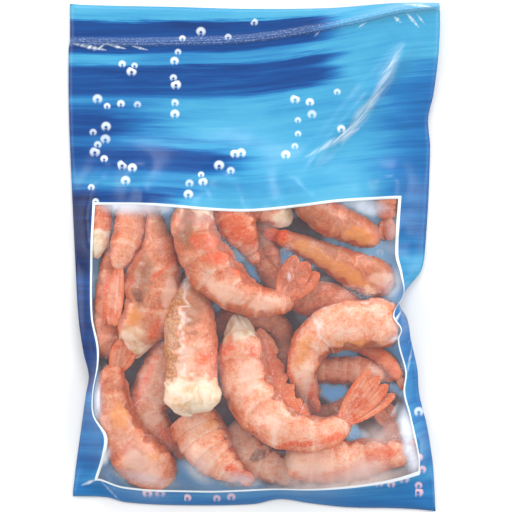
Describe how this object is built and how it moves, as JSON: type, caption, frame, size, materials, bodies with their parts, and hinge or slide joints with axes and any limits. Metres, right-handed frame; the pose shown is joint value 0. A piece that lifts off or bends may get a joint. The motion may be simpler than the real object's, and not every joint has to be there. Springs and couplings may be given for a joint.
{
  "type": "sealed pouch of frozen raw red shrimp tails",
  "caption": "Flat sealed pouch of frozen raw argentine red shrimp tails in their shells, printed blue, with a clear window and a press zip along its top.",
  "frame": {"origin": "middle of the pouch's outline, on the surface that it lies on", "axes": "+X to the pouch's right, +Y towards its top end with the zip, +Z out of its front"},
  "size_m": [0.1853, 0.2542, 0.0395],
  "materials": {
    "printed_film": "glossy laminated film, printed in blues with bubbles",
    "clear_film": "clear glossy film, hazy with frost",
    "shrimp_shell": "raw shell, moist under an ice glaze",
    "belly_shell": "thin translucent shell of the belly and legs"
  },
  "bodies": {
    "root": {"printed_pouch": "printed_film", "window_film": "clear_film", "shrimp_01": "shrimp_shell", "shrimp_02": "shrimp_shell", "shrimp_03": "shrimp_shell", "shrimp_04": "shrimp_shell", "shrimp_05": "shrimp_shell", "shrimp_06": "shrimp_shell", "shrimp_07": "shrimp_shell", "shrimp_08": "shrimp_shell", "shrimp_09": "shrimp_shell", "shrimp_10": "shrimp_shell", "shrimp_11": "shrimp_shell", "shrimp_12": "shrimp_shell", "shrimp_13": "shrimp_shell", "shrimp_14": "shrimp_shell", "shrimp_15": "shrimp_shell", "shrimp_16": "shrimp_shell", "shrimp_17": "shrimp_shell", "shrimp_18": "shrimp_shell", "shrimp_19": "shrimp_shell", "shrimp_20": "shrimp_shell", "shrimp_21": "shrimp_shell", "shrimp_22": "shrimp_shell", "shrimp_23": "shrimp_shell", "shrimp_24": "shrimp_shell", "loose_shell": "belly_shell"}
  },
  "joints": []
}
